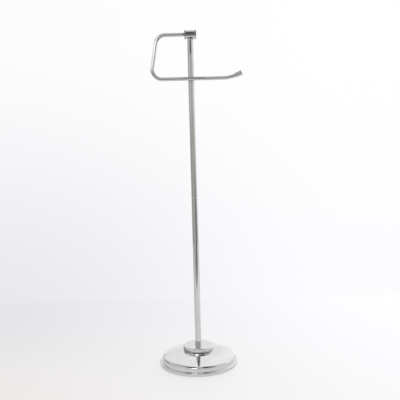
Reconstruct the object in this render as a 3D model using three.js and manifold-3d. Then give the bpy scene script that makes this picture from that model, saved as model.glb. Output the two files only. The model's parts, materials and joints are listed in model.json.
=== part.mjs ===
// Free-standing toilet roll stand: a weighted round base, a slim pole and a swinging open-ended arm.
// Millimetres, +Z up. The origin is on the pole's axis at the floor; the arm's free end points to +X,
// and its lower rod hangs against the pole's front, which faces -Y.

import * as THREE from "three";
import { mergeVertices } from "three/addons/utils/BufferGeometryUtils.js";
import Module from "manifold-3d";

const wasm = await Module();
wasm.setup();

// ---------------------------------------------------------------- driving dimensions

const GAP = 0.3; // left between pieces that touch

// Base, bottom to top
const PAD_R = 80;
const PAD_T = 3;
const COVER_R = 82.5; // outside of the skirt
const COVER_T = 1.5; // sheet thickness
const SKIRT_Z0 = 1;
const LEDGE_Z = 7.8; // the ledge that runs round between the skirt and the dome
const SKIRT_EDGE_R = 2.5; // rounding between the skirt and the ledge
const SEAT_R = 34; // flat land under the collar
const SEAT_Z = 29.5;
const WEIGHT_R = 72;
const WEIGHT_H = 11.5;
const WEIGHT_EDGE = 3;
const BOSS_R = 31; // the weight's boss, which carries the land
const BOSS_CLEAR = 0.4;
const RECESS_R = 14; // pocket under the weight for the bolt's head and washers
const RECESS_Z = 14;

// The dome's outline is an arc about (DOME_CX, DOME_CZ), then a round shoulder, then a short, steep wall.
// Its angles are taken from the vertical.
const DOME_R = 106;
const DOME_CX = 26.2;
const DOME_CZ = -76.2;
const SHOULDER_R = 6.2;
const SHOULDER_ANGLE = THREE.MathUtils.degToRad(26.5);
const WALL_ANGLE = THREE.MathUtils.degToRad(84);

const COLLAR_R = 32;
const COLLAR_H = 9.5;
const COLLAR_EDGE_R = 2.4; // rolled top edge
const COLLAR_CHAMFER = 1;
const COLLAR_FLOOR = 4.6; // material left under the pole's end

// Pole
const POLE_R = 6.5;
const POLE_WALL = 1;
const AXIS_Z = 692; // height of the arm's pivot
const COPE_EAR = 4; // how far the tube's coped ears reach up beside the barrel
const PLUG_L = 25; // threaded plugs pressed into the tube's ends
const TOP_PLUG_DEPTH = 1.2; // below the barrel's underside
const BOTTOM_PLUG_DEPTH = 0.5;

// Screws and washers
const BOLT_R = 4; // M8
const BOLT_HOLE_R = 4.6;
const BOLT_REACH = 22; // thread inside the pole's bottom plug
const BOLT_TIP_CHAMFER = 1;
const BOLT_HEAD_AF = 13; // across flats
const BOLT_HEAD_H = 5.3;
const FLAT_WASHER_R = 11;
const FLAT_WASHER_T = 1.6;
const SPRING_WASHER_R = 6.9;
const SPRING_WASHER_T = 2;
const SPRING_SLIT = 1.4;
const WASHER_HOLE_R = 4.4;
const STUD_R = 3; // M6
const STUD_L = 15;
const END_SCREW_R = 2; // M4
const END_SCREW_L = 10;
const END_SCREW_HEAD_R = 3.5;
const END_SCREW_HEAD_H = 2.4;
const END_WASHER_R = 5.8;
const END_WASHER_T = 1;

// Head barrel, lying along X
const BARREL_L = 25; // over both rims
const BARREL_R = 9;
const BARREL_BORE_R = 7;
const RIM_R = 10.2; // end fittings, proud of the barrel
const RIM_W = 3;
const RIM_EDGE = 0.6;
const SPIGOT_L = 3; // pressed into the barrel's bore
const CAP_FACE_T = 1.5;
const CAP_CROWN = 0.8;

// Arm
const ROD_R = 4;
const ARM_DROP = 92.7; // between the upper and lower rods' centre lines
const TOP_CORNER_X = -69; // where the centre lines would meet without bends
const LOW_CORNER_X = -83;
const BEND_R = 20.5;
const FLICK_X = 65.5; // where the free end starts to rise
const FLICK_R = 72;
const FLICK_ANGLE = THREE.MathUtils.degToRad(22);
const TIP_L = 12; // cap on the free end, with a rim at each end
const TIP_R = 5.1;
const TIP_RIM_R = 5.9;
const TIP_RIM_W = 2.4;
const TIP_RIM_EDGE = 0.7;
const TIP_CROWN = 0.5;
const TIP_WALL = 0.8;
const TIP_SOCKET = 10; // straight end of the rod inside the tip

// Smoothness
const ROUND_BIG = 64;
const ROUND_POLE = 32;
const ROUND_SMALL = 20;
const ARM_STEPS = 66;

// ---------------------------------------------------------------- materials

const makeMaterial = (color, metalness, roughness) =>
  new THREE.MeshStandardMaterial({ color, metalness, roughness });
const chrome = () => makeMaterial(0xdedfe0, 1, 0.06);
const castIron = () => makeMaterial(0x2b2c2e, 0.6, 0.7);
const foam = () => makeMaterial(0x1d1d1f, 0, 0.95);
const nylon = () => makeMaterial(0xece9e0, 0, 0.5);
const zincSteel = () => makeMaterial(0xb4b6b8, 1, 0.35);

// ---------------------------------------------------------------- shape helpers

const TAU = 2 * Math.PI;
const point = (r, z) => new THREE.Vector2(r, z);

// Points of an arc, both ends included.
function arc(cx, cy, rx, ry, from, to, steps) {
  return Array.from({ length: steps + 1 }, (_, i) => {
    const a = from + ((to - from) * i) / steps;
    return point(cx + rx * Math.cos(a), cy + ry * Math.sin(a));
  });
}

// Turns a closed outline, given anticlockwise as (radius, height), about Z.
function turned(outline, segments) {
  return new THREE.LatheGeometry([...outline, outline[0]], segments);
}

// LatheGeometry turns about Y: this stands it up along Z.
const alongZ = (geometry) => geometry.rotateX(Math.PI / 2);
const alongX = (geometry) => geometry.rotateZ(-Math.PI / 2);

const ring = (rIn, rOut, z0, z1) => [point(rIn, z0), point(rOut, z0), point(rOut, z1), point(rIn, z1)];
const disc = (r, z0, z1) => [point(0, z0), point(r, z0), point(r, z1), point(0, z1)];

// A solid of revolution whose outline starts and ends on the axis.
const turnedSolid = (outline, segments) => new THREE.LatheGeometry(outline, segments);

function toSolid(geometry) {
  const bare = geometry.clone();
  bare.deleteAttribute("normal");
  bare.deleteAttribute("uv");
  const merged = mergeVertices(bare, 1e-4);
  return new wasm.Manifold(
    new wasm.Mesh({
      numProp: 3,
      vertProperties: merged.attributes.position.array,
      triVerts: new Uint32Array(merged.index.array),
    }),
  );
}

function toGeometry(solid) {
  const mesh = solid.getMesh();
  return new THREE.BufferGeometry()
    .setAttribute("position", new THREE.BufferAttribute(mesh.vertProperties, 3))
    .setIndex(new THREE.BufferAttribute(mesh.triVerts, 1));
}

const cut = (body, ...tools) => toGeometry(tools.reduce((s, t) => s.subtract(toSolid(t)), toSolid(body)));
const join = (...pieces) => toGeometry(pieces.map(toSolid).reduce((a, b) => a.add(b)));

function mesh(name, geometry, material) {
  const m = new THREE.Mesh(geometry, material);
  m.name = name;
  return m;
}

// ---------------------------------------------------------------- base

// A point on an arc whose angle is taken from the vertical, towards larger radii.
const onArc = (cx, cz, r, a) => point(cx + r * Math.sin(a), cz + r * Math.cos(a));

// The outline from the ledge up to the land under the collar. Inset moves it into the sheet.
function domeOutline(inset, shoulderSteps, domeSteps) {
  const shoulder = onArc(DOME_CX, DOME_CZ, DOME_R - SHOULDER_R, SHOULDER_ANGLE);
  const r = SHOULDER_R - inset;
  const wallTop = onArc(shoulder.x, shoulder.y, r, WALL_ANGLE);
  const footZ = LEDGE_Z - inset;
  const foot = point(wallTop.x + (wallTop.y - footZ) / Math.tan(WALL_ANGLE), footZ);
  const seatAngle = Math.asin((SEAT_R - DOME_CX) / DOME_R);
  const sweep = (cx, cz, radius, from, to, steps) =>
    Array.from({ length: steps + 1 }, (_, i) => onArc(cx, cz, radius, from + ((to - from) * i) / steps));
  return [
    foot,
    ...sweep(shoulder.x, shoulder.y, r, WALL_ANGLE, SHOULDER_ANGLE, shoulderSteps),
    ...sweep(DOME_CX, DOME_CZ, DOME_R - inset, SHOULDER_ANGLE, seatAngle, domeSteps).slice(1),
  ];
}

// One pressed shell: skirt, ledge, domed top and a flat land with the bolt's hole.
function coverGeometry() {
  const skirtIn = COVER_R - COVER_T;
  const e = SKIRT_EDGE_R;
  const outline = [
    point(skirtIn, SKIRT_Z0),
    point(COVER_R, SKIRT_Z0),
    ...arc(COVER_R - e, LEDGE_Z - e, e, e, 0, Math.PI / 2, 4),
    ...domeOutline(0, 5, 6),
    point(BOLT_HOLE_R, SEAT_Z),
    point(BOLT_HOLE_R, SEAT_Z - COVER_T),
    ...domeOutline(COVER_T, 3, 4).reverse(),
    point(skirtIn, LEDGE_Z - COVER_T),
  ];
  return alongZ(turned(outline, ROUND_BIG));
}

// A cast disc with a boss that fills the cover's middle and a pocket for the bolt's head.
function weightGeometry() {
  const z0 = PAD_T + GAP;
  const z1 = z0 + WEIGHT_H;
  const top = SEAT_Z - COVER_T - BOSS_CLEAR;
  const outline = [
    point(RECESS_R, z0),
    point(WEIGHT_R, z0),
    point(WEIGHT_R, z1 - WEIGHT_EDGE),
    point(WEIGHT_R - WEIGHT_EDGE, z1),
    point(BOSS_R + WEIGHT_EDGE, z1),
    point(BOSS_R, z1 + WEIGHT_EDGE),
    point(BOSS_R, top),
    point(BOLT_HOLE_R, top),
    point(BOLT_HOLE_R, RECESS_Z),
    point(RECESS_R, RECESS_Z),
  ];
  return alongZ(turned(outline, ROUND_BIG * 0.75));
}

const COLLAR_Z0 = SEAT_Z + GAP;
const COLLAR_Z1 = COLLAR_Z0 + COLLAR_H;
const POLE_Z0 = COLLAR_Z0 + COLLAR_FLOOR + GAP;

// A turned disc with a rolled top edge, counterbored for the pole's end.
function collarGeometry() {
  const e = COLLAR_EDGE_R;
  const outline = [
    point(BOLT_HOLE_R, COLLAR_Z0),
    point(COLLAR_R - COLLAR_CHAMFER, COLLAR_Z0),
    point(COLLAR_R, COLLAR_Z0 + COLLAR_CHAMFER),
    ...arc(COLLAR_R - e, COLLAR_Z1 - e, e, e, 0, Math.PI / 2, 4),
    point(POLE_R + GAP, COLLAR_Z1),
    point(POLE_R + GAP, POLE_Z0 - GAP),
    point(BOLT_HOLE_R, POLE_Z0 - GAP),
  ];
  return alongZ(turned(outline, ROUND_BIG * 0.75));
}

function hexBolt(headZ, tipZ) {
  const cornerR = BOLT_HEAD_AF / 2 / Math.cos(Math.PI / 6);
  const head = new THREE.CylinderGeometry(cornerR, cornerR, BOLT_HEAD_H, 6);
  const headMid = headZ + BOLT_HEAD_H / 2;
  head.translate(0, headMid, 0);
  const shank = turnedSolid(
    [
      point(0, headMid),
      point(BOLT_R, headMid),
      point(BOLT_R, tipZ - BOLT_TIP_CHAMFER),
      point(BOLT_R - BOLT_TIP_CHAMFER, tipZ),
      point(0, tipZ),
    ],
    ROUND_SMALL,
  );
  return alongZ(join(head, shank));
}

// A split ring, its ends a little apart.
function springWasher(z0) {
  const body = turned(ring(WASHER_HOLE_R, SPRING_WASHER_R, z0, z0 + SPRING_WASHER_T), ROUND_SMALL);
  const slit = new THREE.BoxGeometry(SPRING_SLIT, 3 * SPRING_WASHER_T, SPRING_WASHER_R);
  slit.translate(0, z0 + SPRING_WASHER_T / 2, SPRING_WASHER_R);
  return alongZ(cut(body, slit));
}

function makeBase() {
  const base = new THREE.Group();
  const flatZ = RECESS_Z - GAP - FLAT_WASHER_T;
  const springZ = flatZ - GAP - SPRING_WASHER_T;
  const headZ = springZ - GAP - BOLT_HEAD_H;
  const flatWasher = turned(ring(WASHER_HOLE_R, FLAT_WASHER_R, flatZ, flatZ + FLAT_WASHER_T), ROUND_SMALL);
  base.add(
    mesh("floor_pad", alongZ(turnedSolid(disc(PAD_R, 0, PAD_T), ROUND_BIG)), foam()),
    mesh("base_weight", weightGeometry(), castIron()),
    mesh("base_cover", coverGeometry(), chrome()),
    mesh("collar", collarGeometry(), chrome()),
    mesh("base_flat_washer", alongZ(flatWasher), zincSteel()),
    mesh("base_spring_washer", springWasher(springZ), zincSteel()),
    mesh("base_bolt", hexBolt(headZ, POLE_Z0 + BOLT_REACH), zincSteel()),
  );
  return base;
}

// ---------------------------------------------------------------- pole

const POLE_TOP = AXIS_Z - BARREL_R; // lowest line of the barrel
const INSERT_R = POLE_R - POLE_WALL - GAP;

// A tube whose top is coped to sit on the barrel.
function poleGeometry() {
  const tube = alongZ(turned(ring(POLE_R - POLE_WALL, POLE_R, POLE_Z0, POLE_TOP + COPE_EAR), ROUND_POLE));
  const barrelSpace = alongX(
    new THREE.CylinderGeometry(BARREL_R + GAP, BARREL_R + GAP, BARREL_L, ROUND_POLE),
  );
  barrelSpace.translate(0, 0, AXIS_Z);
  return cut(tube, barrelSpace);
}

const plug = (z0, boreR) => alongZ(turned(ring(boreR, INSERT_R, z0, z0 + PLUG_L), ROUND_SMALL));

function makePole() {
  const pole = new THREE.Group();
  const studTop = POLE_TOP - GAP;
  const stud = turnedSolid(disc(STUD_R, studTop - STUD_L, studTop), ROUND_SMALL);
  pole.add(
    mesh("pole_tube", poleGeometry(), chrome()),
    mesh("pole_bottom_insert", plug(POLE_Z0 + BOTTOM_PLUG_DEPTH, BOLT_R + GAP), zincSteel()),
    mesh("pole_top_insert", plug(POLE_TOP - TOP_PLUG_DEPTH - PLUG_L, STUD_R + GAP), zincSteel()),
    mesh("barrel_stud", alongZ(stud), zincSteel()),
  );
  return pole;
}

// ---------------------------------------------------------------- head

// End fittings are drawn with their outer face at +L/2 and turned about the barrel's axis.
const HALF = BARREL_L / 2;
const TUBE_HALF = HALF - RIM_W - GAP;
const SPIGOT_R = BARREL_BORE_R - GAP;
const SPIGOT_END = HALF - RIM_W - SPIGOT_L;

// The proud rim, with broken edges, that both end fittings share.
function rimOutline() {
  const back = HALF - RIM_W;
  return [
    point(RIM_R - RIM_EDGE, back),
    point(RIM_R, back + RIM_EDGE),
    point(RIM_R, HALF - RIM_EDGE),
    point(RIM_R - RIM_EDGE, HALF),
  ];
}

function endRing(boreR) {
  return turned(
    [
      point(boreR, SPIGOT_END),
      point(SPIGOT_R, SPIGOT_END),
      point(SPIGOT_R, HALF - RIM_W),
      ...rimOutline(),
      point(boreR, HALF),
    ],
    ROUND_POLE,
  );
}

function endCap() {
  const hollowR = SPIGOT_R - 1.2;
  return turnedSolid(
    [
      point(0, HALF - CAP_FACE_T),
      point(hollowR, HALF - CAP_FACE_T),
      point(hollowR, SPIGOT_END),
      point(SPIGOT_R, SPIGOT_END),
      point(SPIGOT_R, HALF - RIM_W),
      ...rimOutline(),
      point(RIM_R / 2, HALF + CAP_CROWN * 0.75),
      point(0, HALF + CAP_CROWN),
    ],
    ROUND_POLE,
  );
}

// Where each piece inside the barrel lies along it, from the left ring to the right cap.
const LEFT_BUSH = [-SPIGOT_END + GAP, -1.2];
const RIGHT_BUSH = [-0.4, 3.6];
const ROD_END_X = 3.9;
const END_WASHER_X = ROD_END_X + GAP;
const END_WASHER = [END_WASHER_X, END_WASHER_X + END_WASHER_T];
const END_SCREW_HEAD_X = END_WASHER[1] + GAP;

const sleeve = (boreR, r, [x0, x1]) => turned(ring(boreR, r, x0, x1), ROUND_SMALL);

function makeHead() {
  const head = new THREE.Group();
  head.position.z = AXIS_Z;
  const rodHoleR = ROD_R + GAP;
  const leftRing = endRing(rodHoleR).rotateX(Math.PI);
  head.add(
    mesh("head_barrel", alongX(sleeve(BARREL_BORE_R, BARREL_R, [-TUBE_HALF, TUBE_HALF])), chrome()),
    mesh("barrel_left_ring", alongX(leftRing), chrome()),
    mesh("barrel_end_cap", alongX(endCap()), chrome()),
    mesh("left_bush", alongX(sleeve(rodHoleR, SPIGOT_R, LEFT_BUSH)), nylon()),
    mesh("right_bush", alongX(sleeve(rodHoleR, SPIGOT_R, RIGHT_BUSH)), nylon()),
  );
  return head;
}

// ---------------------------------------------------------------- arm

// A round bend between two directions in the XZ plane.
class Bend extends THREE.Curve {
  constructor(centre, radius, from, to) {
    super();
    Object.assign(this, { centre, radius, from, to });
  }

  getPoint(t, target = new THREE.Vector3()) {
    const a = this.from + (this.to - this.from) * t;
    return target.set(
      this.centre.x + this.radius * Math.cos(a),
      0,
      this.centre.z + this.radius * Math.sin(a),
    );
  }
}

// The rod's centre line in the arm's own plane, from its end in the barrel to its free end.
// The upright leans, so the upper bend turns a little less than a right angle from it.
function armPath() {
  const lean = Math.atan2(TOP_CORNER_X - LOW_CORNER_X, ARM_DROP);
  const setback = (turn) => BEND_R * Math.tan(turn / 2);
  const topTurn = Math.PI / 2 - lean;
  const lowTurn = Math.PI / 2 + lean;
  const topStart = TOP_CORNER_X + setback(topTurn);
  const lowEnd = LOW_CORNER_X + setback(lowTurn);
  const up = Math.PI / 2;
  const top = new Bend({ x: topStart, z: -BEND_R }, BEND_R, up, up + topTurn);
  const low = new Bend({ x: lowEnd, z: BEND_R - ARM_DROP }, BEND_R, up + topTurn, up + topTurn + lowTurn);
  const flick = new Bend({ x: FLICK_X, z: FLICK_R - ARM_DROP }, FLICK_R, -up, FLICK_ANGLE - up);
  const at = (x, z) => new THREE.Vector3(x, 0, z);
  const path = new THREE.CurvePath();
  path.add(new THREE.LineCurve3(at(ROD_END_X, 0), at(topStart, 0)));
  path.add(top);
  path.add(new THREE.LineCurve3(top.getPoint(1), low.getPoint(0)));
  path.add(low);
  path.add(new THREE.LineCurve3(at(lowEnd, -ARM_DROP), at(FLICK_X, -ARM_DROP)));
  path.add(flick);
  const flickEnd = flick.getPoint(1);
  path.add(new THREE.LineCurve3(flickEnd, flickEnd.clone().addScaledVector(flick.getTangent(1), TIP_SOCKET)));
  return path;
}

function rodGeometry(path) {
  const section = new THREE.Shape().absarc(0, 0, ROD_R, 0, TAU);
  const rod = new THREE.ExtrudeGeometry(section, {
    steps: ARM_STEPS,
    curveSegments: 8,
    extrudePath: path,
  });
  const holeR = END_SCREW_R + GAP;
  const tapped = alongX(new THREE.CylinderGeometry(holeR, holeR, 2 * (END_SCREW_L + 2), ROUND_SMALL));
  tapped.translate(ROD_END_X, 0, 0);
  return cut(rod, tapped);
}

// A pan-head screw that holds the washer on the rod's end.
function endScrew() {
  const x0 = ROD_END_X - END_SCREW_L;
  const x1 = END_SCREW_HEAD_X + END_SCREW_HEAD_H;
  const crown = END_SCREW_HEAD_H / 2;
  return turnedSolid(
    [
      point(0, x0),
      point(END_SCREW_R, x0),
      point(END_SCREW_R, END_SCREW_HEAD_X),
      point(END_SCREW_HEAD_R, END_SCREW_HEAD_X),
      point(END_SCREW_HEAD_R, x1 - crown),
      point(END_SCREW_HEAD_R - crown, x1),
      point(0, x1),
    ],
    ROUND_SMALL,
  );
}

// A blind cap pushed over the rod's end: rims at both ends and a gently domed face.
function tipCap() {
  const boreR = ROD_R + GAP;
  const e = TIP_RIM_EDGE;
  const outline = [
    point(boreR, 0),
    point(TIP_RIM_R - e, 0),
    point(TIP_RIM_R, e),
    point(TIP_RIM_R, TIP_RIM_W - e),
    point(TIP_R, TIP_RIM_W),
    point(TIP_R, TIP_L - TIP_RIM_W),
    point(TIP_RIM_R, TIP_L - TIP_RIM_W + e),
    point(TIP_RIM_R, TIP_L - e),
    point(TIP_RIM_R - e, TIP_L),
    point(0, TIP_L + TIP_CROWN),
  ];
  const blindEnd = TIP_L - TIP_WALL;
  return turnedSolid([point(0, blindEnd), point(boreR, blindEnd), ...outline], ROUND_SMALL);
}

function makeArm() {
  const arm = new THREE.Group();
  arm.position.z = AXIS_Z;
  // The lower rod hangs against the front of the pole.
  arm.rotation.x = -Math.asin((POLE_R + ROD_R + GAP) / ARM_DROP);
  const path = armPath();
  const end = path.getPoint(1);
  const tip = mesh("tip_cap", alongX(tipCap()), chrome());
  tip.position.copy(end).addScaledVector(path.getTangent(1), -TIP_SOCKET);
  tip.rotation.y = -FLICK_ANGLE;
  const washer = sleeve(END_SCREW_R + GAP, END_WASHER_R, END_WASHER);
  arm.add(
    mesh("arm_rod", rodGeometry(path), chrome()),
    tip,
    mesh("arm_end_washer", alongX(washer), zincSteel()),
    mesh("arm_end_screw", alongX(endScrew()), zincSteel()),
  );
  return arm;
}

// ---------------------------------------------------------------- the stand

const stand = new THREE.Group();
stand.name = "toilet_roll_stand";
stand.add(makeBase(), makePole(), makeHead(), makeArm());

export default stand;
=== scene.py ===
"""Looks for the free-standing toilet roll stand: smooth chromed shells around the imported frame."""

import json
import math

import bmesh
import bpy
from mathutils import Matrix, Vector


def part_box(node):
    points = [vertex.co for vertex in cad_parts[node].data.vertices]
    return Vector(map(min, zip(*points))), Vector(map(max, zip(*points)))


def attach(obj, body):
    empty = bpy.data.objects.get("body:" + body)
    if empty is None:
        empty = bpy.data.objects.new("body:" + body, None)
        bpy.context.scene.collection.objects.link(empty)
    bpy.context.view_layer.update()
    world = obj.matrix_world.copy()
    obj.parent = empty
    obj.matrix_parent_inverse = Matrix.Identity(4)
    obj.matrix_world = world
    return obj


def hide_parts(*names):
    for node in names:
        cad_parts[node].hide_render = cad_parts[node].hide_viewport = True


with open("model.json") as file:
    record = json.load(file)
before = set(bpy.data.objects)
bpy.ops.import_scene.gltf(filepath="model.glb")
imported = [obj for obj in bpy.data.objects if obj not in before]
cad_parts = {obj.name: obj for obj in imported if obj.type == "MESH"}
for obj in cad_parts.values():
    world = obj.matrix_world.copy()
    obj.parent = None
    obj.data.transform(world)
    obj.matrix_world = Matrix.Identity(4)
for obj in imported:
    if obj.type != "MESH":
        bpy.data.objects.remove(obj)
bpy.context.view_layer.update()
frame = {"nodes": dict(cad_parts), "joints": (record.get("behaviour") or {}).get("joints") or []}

MM = 0.001
TAU = 2 * math.pi

# ------------------------------------------------------------------ sizes, from the frame

COVER_LO, COVER_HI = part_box("base_cover")
COLLAR_LO, COLLAR_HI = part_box("collar")
POLE_LO, POLE_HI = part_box("pole_tube")
BARREL_LO, BARREL_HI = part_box("head_barrel")
RING_LO, RING_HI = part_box("barrel_left_ring")
CAP_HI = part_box("barrel_end_cap")[1]
PAD_LO, PAD_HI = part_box("floor_pad")
WEIGHT_LO, WEIGHT_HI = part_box("base_weight")

GAP = 0.3 * MM  # round everything that fits into something else
SHARP_R = 0.2 * MM  # a machined edge that is only just broken
PIVOT = Vector(frame["joints"][0]["pos_m"])

# Base cover. The dome's arc is centred at (DOME_CX, DOME_CZ), off the axis; angles are from the vertical.
COVER_R = COVER_HI.x
COVER_T = 1.5 * MM
LIP_R = 0.35 * MM
LEDGE_Z = 7.8 * MM
SKIRT_EDGE_R = 2.5 * MM
SEAT_R = 34 * MM
SEAT_Z = COVER_HI.z
BOLT_HOLE_R = 4.6 * MM
DOME_R = 106 * MM
DOME_CX = 26.2 * MM
DOME_CZ = -76.2 * MM
SHOULDER_R = 6.2 * MM
SHOULDER_ANGLE = math.radians(26.5)
WALL_ANGLE = math.radians(84)
FOOT_FILLET = 0.8 * MM

COLLAR_R = COLLAR_HI.x
COLLAR_EDGE_R = 2.4 * MM
COLLAR_FOOT_R = 1 * MM
COLLAR_MOUTH_R = 0.15 * MM

# Cast weight, with a boss on its disc and a pocket for the bolt's head
WEIGHT_DISC_T = 11.5 * MM
WEIGHT_EDGE_R = 3 * MM
WEIGHT_CAST_R = 1 * MM
WEIGHT_BORE_EDGE_R = 0.5 * MM
BOSS_R = 31 * MM
POCKET_R = 14 * MM
POCKET_Z = 14 * MM
POCKET_MOUTH_R = 0.8 * MM

PAD_FOOT_R = 0.9 * MM
PAD_TOP_R = 0.6 * MM

# Pole. JOINT_Z is where its two lengths meet, and JOINT_REACH how far from there the plain wall stops.
POLE_R = POLE_HI.x
POLE_WALL = 1 * MM
JOINT_Z = 354 * MM
JOINT_EDGE_R = 0.8 * MM
JOINT_REACH = 1.3 * MM

# Head, along X from the pivot
BARREL_R = BARREL_HI.y
BARREL_BORE_R = 7 * MM
RIM_R = RING_HI.y
RIM_W = 3 * MM
RIM_BACK_R = 0.5 * MM
RIM_FRONT_R = 0.7 * MM
BARREL_HALF = -RING_LO.x
SPIGOT_X = BARREL_HALF - 2 * RIM_W
SPIGOT_R = BARREL_BORE_R - GAP
ROD_MOUTH_R = 0.5 * MM
CAP_CROWN = CAP_HI.x - BARREL_HALF
CAP_WALL = 1.2 * MM
CAP_FACE_T = 1.5 * MM
CAP_CORNER_R = 0.3 * MM
CAP_BEND_R = 0.55 * RIM_R  # from the axis, where the crowned face falls away faster
CAP_FALL = 0.12 * MM  # below the crown there
CAP_SOFT_R = 6 * MM

# Arm, in its own plane from the pivot: the lower rod rises in an arc of FLICK_R past FLICK_X
ROD_R = 4 * MM
ARM_DROP = 92.7 * MM
TOP_CORNER_X = -69 * MM
LOW_CORNER_X = -83 * MM
BEND_R = 20.5 * MM
FLICK_X = 65.5 * MM
FLICK_R = 72 * MM
FLICK_ANGLE = math.radians(22)
ROD_END_X = 3.9 * MM
ROD_END_FACE = 0.94
TIP_SOCKET = 10 * MM
TIP_L = 12 * MM
TIP_R = 5.1 * MM
TIP_RIM_R = 5.9 * MM
TIP_RIM_W = 2.4 * MM
TIP_FLANK_W = 0.8 * TIP_RIM_W  # the straight part of a rim
TIP_EDGE_R = 0.6 * MM
TIP_FRONT_R = 0.7 * MM
TIP_MOUTH_R = 0.1 * MM
TIP_FACE_T = 0.8 * MM
TIP_CROWN = 0.5 * MM
TIP_BEND_R = 0.5 * TIP_RIM_R  # from the axis, where the crowned face falls away faster
TIP_SOFT_R = 2 * MM
ARM_TILT = -math.asin((POLE_R + ROD_R + GAP) / ARM_DROP)

# ------------------------------------------------------------------ outlines


def corner(p, a, b, radius, steps=7):
    """Points of the arc that rounds corner p between its neighbours a and b."""
    p, a, b = Vector(p), Vector(a), Vector(b)
    u, v = (a - p).normalized(), (b - p).normalized()
    half = u.angle(v) / 2
    if radius <= 0 or half > math.radians(89.5):
        return [p]
    run = min(radius / math.tan(half), 0.49 * (a - p).length, 0.49 * (b - p).length)
    centre = p + (u + v).normalized() * (run / math.cos(half))
    start, end = p + u * run - centre, p + v * run - centre
    sweep = start.angle_signed(end)
    out = []
    for i in range(steps + 1):
        t = -sweep * i / steps
        out.append(centre + Vector((start.x * math.cos(t) - start.y * math.sin(t),
                                    start.x * math.sin(t) + start.y * math.cos(t))))
    return out


def rounded(points, closed):
    """An outline from (r, z, radius) corners, with its corners rounded."""
    n = len(points)
    out = []
    for i, (r, z, radius) in enumerate(points):
        if not closed and i in (0, n - 1):
            out.append(Vector((r, z)))
            continue
        out += corner((r, z), points[i - 1][:2], points[(i + 1) % n][:2], radius)
    return out


def supported(outline, closed, hold=0.12 * MM, reach=3 * MM):
    """Adds points near the ends of each long stretch, and along it, so smooth shading stays true."""
    out = []
    last = len(outline) if closed else len(outline) - 1
    for i in range(last):
        a, b = outline[i], outline[(i + 1) % len(outline)]
        length = (b - a).length
        out.append(a)
        if length > 6 * hold:
            inner = max(1, round((length - 2 * hold) / reach))
            cuts = [hold + (length - 2 * hold) * k / inner for k in range(inner + 1)]
            out += [a.lerp(b, c / length) for c in cuts]
    return out if closed else out + [outline[-1]]


def sweep_arc(cx, cz, radius, start, end, steps):
    """Points of an arc whose angles are taken from the vertical."""
    angles = [start + (end - start) * i / steps for i in range(steps + 1)]
    return [Vector((cx + radius * math.sin(a), cz + radius * math.cos(a))) for a in angles]


# ------------------------------------------------------------------ meshes


def add_object(name, data):
    """A new object in the scene, for this mesh or camera."""
    thing = bpy.data.objects.new(name, data)
    bpy.context.scene.collection.objects.link(thing)
    return thing


def finish_mesh(name, bm, body, slot, material, *nodes):
    """Turns bm into a smooth-shaded piece that rides on body and stands for the CAD nodes."""
    bmesh.ops.remove_doubles(bm, verts=bm.verts, dist=1e-7)
    bmesh.ops.recalc_face_normals(bm, faces=bm.faces)
    mesh = bpy.data.meshes.new(name)
    bm.to_mesh(mesh)
    bm.free()
    mesh.shade_smooth()
    mesh.materials.append(material)
    piece = add_object(name, mesh)
    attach(piece, body)
    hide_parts(*nodes)


def lathe(outline, closed, segments, place=Matrix.Identity(4)):
    """Turns an outline of (r, z) points about Z. An open outline starts and ends on the axis."""
    bm = bmesh.new()
    rows = []
    for p in outline:
        if p.x < 1e-9:
            rows.append([bm.verts.new(place @ Vector((0, 0, p.y)))] * segments)
            continue
        rows.append([
            bm.verts.new(place @ Vector((p.x * math.cos(a), p.x * math.sin(a), p.y)))
            for a in (TAU * k / segments for k in range(segments))
        ])
    pairs = list(zip(rows, rows[1:]))
    if closed:
        pairs.append((rows[-1], rows[0]))
    for low, high in pairs:
        for k in range(segments):
            m = (k + 1) % segments
            loop = [low[k], low[m], high[m], high[k]]
            unique = list(dict.fromkeys(loop))
            if len(unique) > 2:
                bm.faces.new(unique)
    return bm


ALONG_X = Matrix.Rotation(math.pi / 2, 4, "Y")


def at_pivot(matrix):
    """Carries a placement from the origin to the barrel's middle."""
    return Matrix.Translation(PIVOT) @ matrix


# ------------------------------------------------------------------ materials


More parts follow.
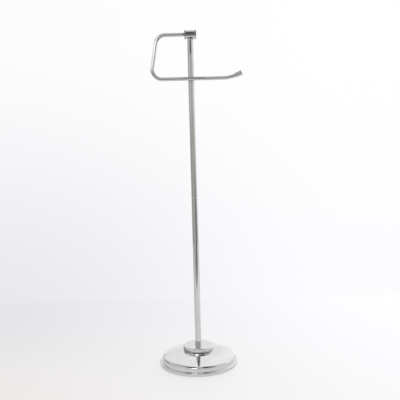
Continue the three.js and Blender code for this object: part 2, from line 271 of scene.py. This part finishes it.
class Nodes:
    """Short helpers for building a node tree."""

    def __init__(self, tree):
        self.tree = tree

    def add(self, kind, **sockets):
        node = self.tree.nodes.new(kind)
        for key, value in sockets.items():
            self.put(node, key, value)
        return node

    def put(self, node, key, value):
        """Sets a socket, by its name or number, or links another node's socket to it."""
        if isinstance(value, bpy.types.NodeSocket):
            self.tree.links.new(value, node.inputs[key])
        else:
            node.inputs[key].default_value = value

    def math(self, operation, a, b=0.0):
        node = self.add("ShaderNodeMath")
        node.operation = operation
        self.put(node, 0, a)
        self.put(node, 1, b)
        return node.outputs[0]

    def smooth(self, value, low, high):
        """0 below low, 1 above high, with a soft step between."""
        node = self.add("ShaderNodeMapRange", Value=value)
        node.interpolation_type = "SMOOTHSTEP"
        self.put(node, "From Min", low)
        self.put(node, "From Max", high)
        return node.outputs["Result"]

    def here(self):
        """The point on the surface, in the piece's own coordinates."""
        return self.add("ShaderNodeTexCoord").outputs["Object"]

    def noise(self, scale, detail, stretch=(1, 1, 1)):
        mapping = self.add("ShaderNodeMapping", Vector=self.here(), Scale=stretch)
        return self.add("ShaderNodeTexNoise", Vector=mapping.outputs[0], Scale=scale, Detail=detail)

    def mix(self, factor, a, b):
        """A colour between a and b. Sockets 0, 6 and 7 are the Mix node's inputs for colours."""
        node = self.add("ShaderNodeMix")
        node.data_type = "RGBA"
        for key, value in ((0, factor), (6, a), (7, b)):
            self.put(node, key, value)
        return node.outputs[2]

    def ramp(self, value, *stops):
        """A colour ramp with (position, colour) stops."""
        node = self.add("ShaderNodeValToRGB", Fac=value)
        elements = node.color_ramp.elements
        while len(elements) < len(stops):
            elements.new(0.5)
        for element, (position, colour) in zip(elements, stops):
            element.position = position
            element.color = colour
        return node.outputs["Color"]

    def bump(self, height, strength, distance):
        return self.add(
            "ShaderNodeBump", Height=height, Strength=strength, Distance=distance
        ).outputs["Normal"]


def grey(v, tint=(1, 1, 1)):
    """A grey of value v, tinted by (r, g, b) factors."""
    return (v * tint[0], v * tint[1], v * tint[2], 1)


def new_material(name):
    """An empty node material, helpers for its tree, and its shader."""
    material = bpy.data.materials.new(name)
    material.use_nodes = True
    n = Nodes(material.node_tree)
    return material, n, material.node_tree.nodes["Principled BSDF"]


def chrome(name, waviness=0.25, wipe=(1, 1, 1)):
    """Bright plate over polished steel: faint waviness, wiping marks and a thin handling haze."""
    material, n, shader = new_material(name)
    haze = n.noise(38, 5).outputs["Fac"]
    wipes = n.noise(260, 2, stretch=wipe).outputs["Fac"]
    hazed = grey(0.605, (1.0, 0.995, 0.985))
    colour = n.mix(n.smooth(haze, 0.35, 0.75), grey(0.64), hazed)
    rough = n.math("ADD", n.math("MULTIPLY", n.smooth(haze, 0.4, 0.8), 0.035), 0.035)
    rough = n.math("ADD", rough, n.math("MULTIPLY", n.smooth(wipes, 0.55, 0.8), 0.03))
    ripple = n.noise(55, 1).outputs["Fac"]
    n.put(shader, "Base Color", colour)
    n.put(shader, "Roughness", rough)
    n.put(shader, "Metallic", 1.0)
    n.put(shader, "Normal", n.bump(ripple, waviness, 0.0004))
    return material


def cast_iron():
    """Black enamel over a sand-cast skin."""
    material, n, shader = new_material("cast_iron")
    grain = n.noise(900, 4).outputs["Fac"]
    lumps = n.noise(140, 3).outputs["Fac"]
    n.put(shader, "Base Color", n.ramp(lumps, (0.3, grey(0.02)), (0.7, grey(0.05, (1, 0.98, 0.95)))))
    n.put(shader, "Roughness", n.math("ADD", n.math("MULTIPLY", grain, 0.35), 0.4))
    n.put(shader, "Metallic", 0.3)
    n.put(shader, "Normal", n.bump(n.math("ADD", grain, lumps), 0.5, 0.0004))
    return material


def foam():
    """Closed-cell foam sheet: fine pores and a slightly chalky skin."""
    material, n, shader = new_material("foam")
    cells = n.add("ShaderNodeTexVoronoi", Vector=n.here(), Scale=900)
    chalk = n.noise(60, 4).outputs["Fac"]
    n.put(shader, "Base Color", n.ramp(chalk, (0.3, grey(0.018)), (0.75, grey(0.045))))
    n.put(shader, "Roughness", n.math("ADD", n.math("MULTIPLY", chalk, 0.15), 0.78))
    n.put(shader, "Normal", n.bump(cells.outputs["Distance"], 0.6, 0.0003))
    return material


def nylon():
    """Turned natural nylon with fine tool rings and a slightly waxy skin."""
    material, n, shader = new_material("nylon")
    cloud = n.noise(300, 3).outputs["Fac"]
    rings = n.noise(1500, 2, stretch=(1, 0.1, 0.1)).outputs["Fac"]
    dull, clear = grey(0.78, (1, 0.98, 0.93)), grey(0.86, (1, 0.99, 0.95))
    n.put(shader, "Base Color", n.ramp(cloud, (0.3, dull), (0.7, clear)))
    n.put(shader, "Roughness", n.math("ADD", n.math("MULTIPLY", rings, 0.2), 0.35))
    n.put(shader, "Subsurface Weight", 0.15)
    n.put(shader, "Subsurface Scale", 0.002)
    n.put(shader, "Normal", n.bump(rings, 0.2, 0.0001))
    return material


def zinc_steel():
    """Bright zinc plate: a fine crystalline bloom with slightly yellow and blue patches."""
    material, n, shader = new_material("zinc_steel")
    bloom = n.noise(420, 5).outputs["Fac"]
    patches = n.noise(90, 2).outputs["Fac"]
    blue, yellow = grey(0.62, (0.97, 0.99, 1.0)), grey(0.6, (1.0, 0.98, 0.9))
    n.put(shader, "Base Color", n.ramp(patches, (0.3, blue), (0.7, yellow)))
    n.put(shader, "Roughness", n.math("ADD", n.math("MULTIPLY", bloom, 0.2), 0.22))
    n.put(shader, "Metallic", 1.0)
    n.put(shader, "Normal", n.bump(bloom, 0.15, 0.0001))
    return material


# ------------------------------------------------------------------ base pieces


def make_cover(material):
    """The pressed shell: skirt, ledge, short wall, round shoulder, dome and flat land under the collar."""
    shoulder = sweep_arc(DOME_CX, DOME_CZ, DOME_R - SHOULDER_R, SHOULDER_ANGLE, 0, 1)[0]
    seat_angle = math.asin((SEAT_R - DOME_CX) / DOME_R)

    def dome(inset, steps):
        """The wall's foot, and the points up the wall and over the dome, this far inside the outer skin."""
        r = SHOULDER_R - inset
        wall_top = sweep_arc(shoulder.x, shoulder.y, r, WALL_ANGLE, 0, 1)[0]
        foot_z = LEDGE_Z - inset
        foot = Vector((wall_top.x + (wall_top.y - foot_z) / math.tan(WALL_ANGLE), foot_z))
        turn = sweep_arc(shoulder.x, shoulder.y, r, WALL_ANGLE, SHOULDER_ANGLE, steps)
        top = sweep_arc(DOME_CX, DOME_CZ, DOME_R - inset, SHOULDER_ANGLE, seat_angle, 3 * steps)
        return foot, turn + top[1:]

    foot, rise = dome(0, 12)
    foot_in, rise_in = dome(COVER_T, 6)
    skirt_in = COVER_R - COVER_T
    z0 = COVER_LO.z
    low = rounded(
        [
            (skirt_in, z0, LIP_R),
            (COVER_R, z0, LIP_R),
            (COVER_R, LEDGE_Z, SKIRT_EDGE_R),
            (foot.x, LEDGE_Z, FOOT_FILLET),
            (rise[0].x, rise[0].y, 0),
            (skirt_in, rise[0].y, 0),
        ],
        True,
    )[:-2]  # the last two corners only steer the rounding of their neighbours
    land = rounded(
        [
            (rise[-1].x, rise[-1].y, 0),
            (SEAT_R, SEAT_Z, SHARP_R),
            (BOLT_HOLE_R, SEAT_Z, 0),
            (BOLT_HOLE_R, SEAT_Z - COVER_T, 0),
        ],
        False,
    )[1:]
    under = list(reversed(rise_in)) + [foot_in, Vector((skirt_in, LEDGE_Z - COVER_T))]
    bm = lathe(supported(low + rise + land + under, True), True, 224)
    finish_mesh("base_cover_shell", bm, "stand", "chrome", material, "base_cover")


def make_collar(material):
    """The turned disc that the pole stands in."""
    z0, z1 = COLLAR_LO.z, COLLAR_HI.z
    bore = POLE_R + GAP
    outline = rounded(
        [
            (BOLT_HOLE_R, z0, 0),
            (COLLAR_R, z0, COLLAR_FOOT_R),
            (COLLAR_R, z1, COLLAR_EDGE_R),
            (bore, z1, COLLAR_MOUTH_R),
            (bore, POLE_LO.z - GAP, 0),
            (BOLT_HOLE_R, POLE_LO.z - GAP, 0),
        ],
        True,
    )
    bm = lathe(supported(outline, True), True, 160)
    finish_mesh("collar_disc", bm, "stand", "chrome", material, "collar")


def make_weight(material):
    """The cast weight: a disc with rounded edges, and a boss that carries the cover's land."""
    z0, z1 = WEIGHT_LO.z, WEIGHT_HI.z
    disc_z = z0 + WEIGHT_DISC_T
    outline = rounded(
        [
            (POCKET_R, z0, POCKET_MOUTH_R),
            (WEIGHT_HI.x, z0, WEIGHT_CAST_R),
            (WEIGHT_HI.x, disc_z, WEIGHT_EDGE_R),
            (BOSS_R, disc_z, WEIGHT_EDGE_R),
            (BOSS_R, z1, WEIGHT_CAST_R),
            (BOLT_HOLE_R, z1, WEIGHT_BORE_EDGE_R),
            (BOLT_HOLE_R, POCKET_Z, WEIGHT_BORE_EDGE_R),
            (POCKET_R, POCKET_Z, WEIGHT_CAST_R),
        ],
        True,
    )
    bm = lathe(supported(outline, True), True, 128)
    finish_mesh("cast_weight", bm, "stand", "cast_iron", material, "base_weight")


def make_pad(material):
    """The foam disc under the weight, with a softly crushed edge."""
    r, z0, z1 = PAD_HI.x, PAD_LO.z, PAD_HI.z
    outline = rounded([(0, z0, 0), (r, z0, PAD_FOOT_R), (r, z1, PAD_TOP_R), (0, z1, 0)], False)
    bm = lathe(supported(outline, False), False, 128)
    finish_mesh("foam_pad", bm, "stand", "foam", material, "floor_pad")


# ------------------------------------------------------------------ pole


def make_pole(material):
    """The tube: a hairline joint halfway up, where two rounded ends meet, and a top coped to the barrel."""
    segments, rows = 96, 65
    cope_r = BARREL_R + GAP
    z0 = POLE_LO.z
    bm = bmesh.new()

    def ring(r, height):
        return [
            bm.verts.new((r * math.cos(a), r * math.sin(a), height(r, a)))
            for a in (TAU * k / segments for k in range(segments))
        ]

    def level(z):
        return lambda r, a: z

    def toward_cope(z, t):
        return lambda r, a: z + (PIVOT.z - math.sqrt(cope_r**2 - (r * math.sin(a)) ** 2) - z) * t

    # Loops run up the outside, in and out of the joint, and down the bore.
    turns = [math.radians(15 * k) for k in range(6)]
    edge = [(JOINT_EDGE_R * (1 - math.cos(t)), JOINT_EDGE_R * (1 - math.sin(t))) for t in turns]
    lower_end, upper_start = JOINT_Z - JOINT_REACH, JOINT_Z + JOINT_REACH
    loops = [ring(POLE_R, level(z0 + (lower_end - z0) * i / rows)) for i in range(rows + 1)]
    loops += [ring(POLE_R - depth, level(JOINT_Z - away)) for depth, away in edge]
    loops += [ring(POLE_R - depth, level(JOINT_Z + away)) for depth, away in reversed(edge)]
    loops += [ring(POLE_R, toward_cope(upper_start, i / rows)) for i in range(rows + 1)]
    loops += [ring(POLE_R - POLE_WALL, toward_cope(z0, i / rows)) for i in range(rows, -1, -1)]
    for low, high in zip(loops, loops[1:] + loops[:1]):
        for k in range(segments):
            m = (k + 1) % segments
            bm.faces.new((low[k], low[m], high[m], high[k]))
    finish_mesh("pole", bm, "stand", "chrome", material, "pole_tube")


# ------------------------------------------------------------------ head


def make_barrel(material):
    """The short tube across the pole's top."""
    outline = rounded(
        [
            (BARREL_BORE_R, BARREL_LO.x, 0),
            (BARREL_R, BARREL_LO.x, SHARP_R),
            (BARREL_R, BARREL_HI.x, SHARP_R),
            (BARREL_BORE_R, BARREL_HI.x, 0),
        ],
        True,
    )
    bm = lathe(supported(outline, True, reach=1.5 * MM), True, 96, at_pivot(ALONG_X))
    finish_mesh("barrel", bm, "stand", "chrome", material, "head_barrel")


def rim_corners():
    """Corners of the proud rim, for a fitting whose outer face is at +BARREL_HALF."""
    return [
        (SPIGOT_R, BARREL_HALF - RIM_W, 0),
        (RIM_R, BARREL_HALF - RIM_W, RIM_BACK_R),
        (RIM_R, BARREL_HALF, RIM_FRONT_R),
    ]


def make_left_ring(material):
    """The proud ring that the rod goes in through."""
    bore = ROD_R + GAP
    outline = rounded(
        [(bore, SPIGOT_X, 0), (SPIGOT_R, SPIGOT_X, SHARP_R)]
        + rim_corners()
        + [(bore, BARREL_HALF, ROD_MOUTH_R)],
        True,
    )
    place = at_pivot(Matrix.Rotation(math.pi, 4, "Z") @ ALONG_X)
    bm = lathe(supported(outline, True), True, 96, place)
    finish_mesh("left_ring", bm, "stand", "chrome", material, "barrel_left_ring")


def make_end_cap(material):
    """The closed cap on the other end, hollow behind a slightly crowned face."""
    hollow = SPIGOT_R - CAP_WALL
    face = BARREL_HALF + CAP_CROWN
    inside = BARREL_HALF - CAP_FACE_T
    outline = rounded(
        [
            (0, inside, 0),
            (hollow, inside, CAP_CORNER_R),
            (hollow, SPIGOT_X, 0),
            (SPIGOT_R, SPIGOT_X, SHARP_R),
        ]
        + rim_corners()
        + [(CAP_BEND_R, face - CAP_FALL, CAP_SOFT_R), (0, face, 0)],
        False,
    )
    bm = lathe(supported(outline, False), False, 96, at_pivot(ALONG_X))
    finish_mesh("end_cap", bm, "stand", "chrome", material, "barrel_end_cap")


# ------------------------------------------------------------------ arm


def arm_line():
    """The rod's centre line in the arm's XZ plane, the point where the rise ends, and the heading there."""
    lean = math.atan2(TOP_CORNER_X - LOW_CORNER_X, ARM_DROP)
    top_turn, low_turn = math.pi / 2 - lean, math.pi / 2 + lean
    top_x = TOP_CORNER_X + BEND_R * math.tan(top_turn / 2)
    low_x = LOW_CORNER_X + BEND_R * math.tan(low_turn / 2)
    points = []

    def straight(a, b, step=2 * MM):
        count = max(1, round((b - a).length / step))
        points.extend(a.lerp(b, k / count) for k in range(count))

    def bend(cx, cz, r, start, end, step=1 * MM):
        count = max(1, round(abs(end - start) * r / step))
        for k in range(count):
            a = start + (end - start) * k / count
            points.append(Vector((cx + r * math.cos(a), 0, cz + r * math.sin(a))))
        return Vector((cx + r * math.cos(end), 0, cz + r * math.sin(end)))

    up = math.pi / 2
    straight(Vector((ROD_END_X, 0, 0)), Vector((top_x, 0, 0)))
    upright_top = bend(top_x, -BEND_R, BEND_R, up, up + top_turn)
    low_centre = Vector((low_x, 0, BEND_R - ARM_DROP))
    a = up + top_turn
    upright_low = low_centre + BEND_R * Vector((math.cos(a), 0, math.sin(a)))
    straight(upright_top, upright_low)
    bend(low_x, BEND_R - ARM_DROP, BEND_R, a, a + low_turn)
    straight(Vector((low_x, 0, -ARM_DROP)), Vector((FLICK_X, 0, -ARM_DROP)))
    end = bend(FLICK_X, FLICK_R - ARM_DROP, FLICK_R, -up, FLICK_ANGLE - up)
    heading = Vector((math.cos(FLICK_ANGLE), 0, math.sin(FLICK_ANGLE)))
    straight(end, end + heading * TIP_SOCKET)
    points.append(end + heading * TIP_SOCKET)
    return points, end, heading


ARM_PLACE = at_pivot(Matrix.Rotation(ARM_TILT, 4, "X"))


def angle_about(p, centre):
    """The angle of p about centre in the arm's own YZ plane."""
    q = ARM_PLACE.inverted() @ p - ARM_PLACE.inverted() @ centre
    return math.atan2(q.z, q.y)


def make_rod(material):
    """One bent rod, swept along arm_line, with a small bevel round each flat end."""
    points, _, _ = arm_line()
    sides = 48
    bm = bmesh.new()
    across = Vector((0, 1, 0))
    loops = []
    for i, p in enumerate(points):
        tangent = (points[min(i + 1, len(points) - 1)] - points[max(i - 1, 0)]).normalized()
        out = tangent.cross(across)
        loops.append([
            bm.verts.new(ARM_PLACE @ (p + ROD_R * (math.cos(a) * out + math.sin(a) * across)))
            for a in (TAU * k / sides for k in range(sides))
        ])
    for low, high in zip(loops, loops[1:]):
        for k in range(sides):
            m = (k + 1) % sides
            bm.faces.new((low[k], low[m], high[m], high[k]))
    for loop in (loops[0], loops[-1]):
        border = [e for e in bm.edges if len(e.link_faces) == 1 and all(v in loop for v in e.verts)]
        inner = bmesh.ops.extrude_edge_only(bm, edges=border)
        verts = [g for g in inner["geom"] if isinstance(g, bmesh.types.BMVert)]
        centre = sum((v.co for v in verts), Vector()) / len(verts)
        for v in verts:
            v.co = centre + (v.co - centre) * ROD_END_FACE
        bm.faces.new(sorted(verts, key=lambda v: angle_about(v.co, centre)))
    finish_mesh("rod", bm, "arm", "chrome", material, "arm_rod")


def make_tip(material):
    """The flanged cap on the free end: two rims, a waist and a slightly crowned face."""
    _, end, heading = arm_line()
    bore = ROD_R + GAP
    outline = rounded(
        [
            (0, TIP_L - TIP_FACE_T, 0),
            (bore, TIP_L - TIP_FACE_T, SHARP_R),
            (bore, 0, TIP_MOUTH_R),
            (TIP_RIM_R, 0, TIP_EDGE_R),
            (TIP_RIM_R, TIP_FLANK_W, TIP_EDGE_R),
            (TIP_R, TIP_RIM_W, TIP_EDGE_R),
            (TIP_R, TIP_L - TIP_RIM_W, TIP_EDGE_R),
            (TIP_RIM_R, TIP_L - TIP_FLANK_W, TIP_EDGE_R),
            (TIP_RIM_R, TIP_L, TIP_FRONT_R),
            (TIP_BEND_R, TIP_L + TIP_CROWN * 0.8, TIP_SOFT_R),
            (0, TIP_L + TIP_CROWN, 0),
        ],
        False,
    )
    turn = heading.to_track_quat("Z", "Y").to_matrix().to_4x4()
    bm = lathe(supported(outline, False), False, 72, ARM_PLACE @ Matrix.Translation(end) @ turn)
    finish_mesh("tip", bm, "arm", "chrome", material, "tip_cap")


# ------------------------------------------------------------------ the stand

plate = chrome("chrome_plate")
plate_turned = chrome("chrome_turned", waviness=0.12, wipe=(1, 1, 0.08))
plate_rod = chrome("chrome_rod", waviness=0.12, wipe=(1, 1, 0.05))

make_cover(plate)
make_collar(plate_turned)
make_pad(foam())
make_weight(cast_iron())
make_pole(plate_rod)
make_barrel(plate_turned)
make_left_ring(plate_turned)
make_end_cap(plate_turned)
make_rod(plate_rod)
make_tip(plate_turned)

zinc = zinc_steel()
white_nylon = nylon()
CARRIED_OVER = {
    "base_bolt": zinc,
    "base_spring_washer": zinc,
    "base_flat_washer": zinc,
    "pole_bottom_insert": zinc,
    "pole_top_insert": zinc,
    "barrel_stud": zinc,
    "arm_end_washer": zinc,
    "arm_end_screw": zinc,
    "left_bush": white_nylon,
    "right_bush": white_nylon,
}
for node, material in CARRIED_OVER.items():
    slots = frame["nodes"][node].data.materials
    slots.clear()
    slots.append(material)

# ------------------------------------------------------------------ studio


def make_sheet(name, corners, material):
    """A flat four-cornered piece of staging."""
    mesh = bpy.data.meshes.new(name)
    mesh.from_pydata(corners, [], [(0, 1, 2, 3)])
    mesh.materials.append(material)
    sheet = add_object(name, mesh)
    return sheet


# The floor: (name, y from, to, seen in reflections). The table ends in front, as the real one does in the
# chrome; the apron carries the floor on for cameras at the sides.
FLOOR_HALF = 1.7
FLOOR = [
    ("table", -0.7, 0.54, True),
    ("apron", -2.6, -0.7, False),
]


def make_floor():
    """A pale table top that glows as painted light, softening the shade under the stand, with painted shade
    a little darker to the left, and warmer in front.
    """
    material, n, shader = new_material("table_top")
    place = n.add("ShaderNodeSeparateXYZ", Vector=n.here())
    # Painted light and shade: the glow stands in for the light on the table, darker to the left, away from
    # the soft box on the right.
    across = n.smooth(place.outputs["X"], -0.7, 0.6)
    back = n.mix(across, (0.565, 0.555, 0.575, 1), (0.77, 0.765, 0.785, 1))
    front = n.mix(across, (0.635, 0.615, 0.595, 1), (0.765, 0.755, 0.775, 1))
    painted_glow = n.mix(n.smooth(place.outputs["Y"], -0.25, 0.35), front, back)
    n.put(shader, "Base Color", (0.2, 0.2, 0.2, 1))
    n.put(shader, "Roughness", 0.5)
    n.put(shader, "Specular IOR Level", 0.1)
    n.put(shader, "Emission Color", painted_glow)
    n.put(shader, "Emission Strength", 1.0)
    for name, near, far, reflected in FLOOR:
        sides = ((-FLOOR_HALF, near), (FLOOR_HALF, near), (FLOOR_HALF, far), (-FLOOR_HALF, far))
        sheet = make_sheet(name, [(x, y, 0) for x, y in sides], material)
        sheet.visible_glossy = reflected
        sheet.visible_diffuse = reflected
        sheet.visible_shadow = reflected


# Dark cards, which only reflections see: (name, x from, to, y, z from, to).
CARDS = [
    ("barrel_flag", -0.02, 0.03, -0.11, 0.675, 0.836),
    ("pole_flag", -0.8, 0.2, -1.12, 0.9, 1.05),
]


def make_cards():
    """Flags in front of the stand, as a studio hangs them, so that barrel and pole show dark lines."""
    material, n, shader = new_material("black_card")
    weave = n.noise(400, 2).outputs["Fac"]
    n.put(shader, "Base Color", n.ramp(weave, (0.3, grey(0.09)), (0.7, grey(0.13))))
    n.put(shader, "Roughness", 0.9)
    for name, x0, x1, y, z0, z1 in CARDS:
        card = make_sheet(name, [(x0, y, z0), (x0, y, z1), (x1, y, z1), (x1, y, z0)], material)
        card.visible_camera = False
        card.visible_shadow = False
        card.visible_diffuse = False


# The studio as the chrome sees it, in degrees. Azimuth 0 is the front (-Y) and +90 is +X; elevation is
# above the horizon. Each panel: azimuth from, to, elevation from, to, softness, (r, g, b). A later one
# lies over earlier ones, and ROOM is behind them all.
ROOM = (1.07, 1.07, 1.10)
PANELS = [
    (-180, 180, 30, 91, 25, (1.2, 1.2, 1.21)),  # ceiling light
    (-180, 180, -91, -9, 14, (0.62, 0.62, 0.64)),  # the room below the table's height
    (98, 165, -1, 91, 16, (1.27, 1.27, 1.29)),  # big soft box on the right
    (60, 98, -60, 91, 16, (0.80, 0.80, 0.80)),  # its dimmer front edge
    (60, 100, 4, 15, 6, (1.06, 1.06, 1.06)),  # white sill under it
    (60, 100, -60, 0, 8, (0.61, 0.60, 0.585)),  # wall under the sill
    (-140, -50, -60, 91, 20, (0.55, 0.54, 0.52)),  # left side, away from the light
    (-50, 58, -60, 91, 16, (0.545, 0.525, 0.495)),  # front of the room
    (-38, 28, 71, 91, 8, (0.93, 0.93, 0.94)),  # end of the ceiling light
    (-110, -60, 63, 79, 6, (0.27, 0.27, 0.265)),  # dark ceiling beam on the left
    (-60, -15, 52, 80, 5, (0.03, 0.03, 0.03)),  # darker stretch of it
    (18, 57, 33, 78, 5, (0.03, 0.03, 0.03)),  # dark doorway at the front right
    (12, 60, 6, 30, 6, (0.70, 0.69, 0.68)),  # pale counter in front of it
    (12, 58, -20, -2, 8, (0.2, 0.195, 0.185)),  # its dark base
    (10, 48, -20, -10, 4, (0.06, 0.06, 0.06)),  # shadow under it
    (-14, 16, 14, 62, 8, (0.75, 0.745, 0.74)),  # tall pale cupboard at the front
    (-112, -14, 21, 34, 6, (1.20, 1.20, 1.22)),  # windows on the left
    (-72, -40, 5, 21, 6, (0.86, 0.86, 0.86)),  # sill below them
    (-90, -60, -12, 5, 6, (0.36, 0.36, 0.355)),  # dark chair
    (-90, -30, -18, -9, 4, (0.36, 0.35, 0.34)),  # its seat
    (-160, -120, 6, 14, 5, (0.40, 0.40, 0.395)),  # shelf at the back left
    (-100, 100, -91, -18, 8, (0.06, 0.06, 0.06)),  # dark floor in front of the table
    (-24, -6, 26, 40, 3, (3.4, 3.4, 3.4)),  # lamp
]
# The wall that the camera sees: (left, right) colours at the bottom and at the top, painted shade darker to
# the lower left, away from the soft box on the right.
WALL_LOW = ((0.80, 0.79, 0.825, 1), (0.97, 0.975, 0.995, 1))
WALL_HIGH = ((0.97, 0.97, 0.985, 1), (1.0, 1.0, 1.0, 1))


def make_world():
    """The panels light and reflect; the camera itself sees a pale wall, with painted shade darker to the
    lower left.
    """
    world = bpy.data.worlds.new("studio")
    world.use_nodes = True
    bpy.context.scene.world = world
    n = Nodes(world.node_tree)
    background = world.node_tree.nodes["Background"]
    separate = n.add("ShaderNodeSeparateXYZ", Vector=n.add("ShaderNodeTexCoord").outputs["Generated"])
    x, y, z = (separate.outputs[k] for k in "XYZ")
    azimuth = n.math("DEGREES", n.math("ARCTAN2", x, n.math("MULTIPLY", y, -1.0)))
    elevation = n.math("DEGREES", n.math("ARCSINE", z))
    colour = (*ROOM, 1)
    for az0, az1, el0, el1, soft, rgb in PANELS:
        h = soft / 2
        mask = n.smooth(elevation, el0 - h, el0 + h)
        mask = n.math("MULTIPLY", mask, n.smooth(elevation, el1 + h, el1 - h))
        if az1 - az0 < 360:
            mask = n.math("MULTIPLY", mask, n.smooth(azimuth, az0 - h, az0 + h))
            mask = n.math("MULTIPLY", mask, n.smooth(azimuth, az1 + h, az1 - h))
        colour = n.mix(mask, colour, (*rgb, 1))
    # Painted shade on the wall: darker to the left and towards the bottom.
    across = n.smooth(x, -0.45, 0.3)
    wall = n.mix(n.smooth(z, -0.3, 0.25), n.mix(across, *WALL_LOW), n.mix(across, *WALL_HIGH))
    seen = n.add("ShaderNodeLightPath").outputs["Is Camera Ray"]
    n.put(background, "Color", n.mix(seen, colour, wall))
    background.inputs["Strength"].default_value = 1.0


CAMERA_AT = Vector((0.0115, -1.0935, 0.4161))
CAMERA_LENS = 46.8
CAMERA_PITCH = math.radians(3.53)
CAMERA_ROLL = math.radians(1.47)


def make_camera():
    """At the photograph's angle: a little above the stand's middle, and rolled as the pole leans."""
    data = bpy.data.cameras.new("camera")
    data.sensor_width = 36
    data.lens = CAMERA_LENS
    data.clip_end = 50
    camera = add_object("camera", data)
    camera.matrix_world = (
        Matrix.Translation(CAMERA_AT)
        @ Matrix.Rotation(math.pi / 2 - CAMERA_PITCH, 4, "X")
        @ Matrix.Rotation(-CAMERA_ROLL, 4, "Z")
    )
    bpy.context.scene.camera = camera


make_floor()
make_cards()
make_world()
make_camera()
bpy.context.scene.view_settings.view_transform = "Standard"
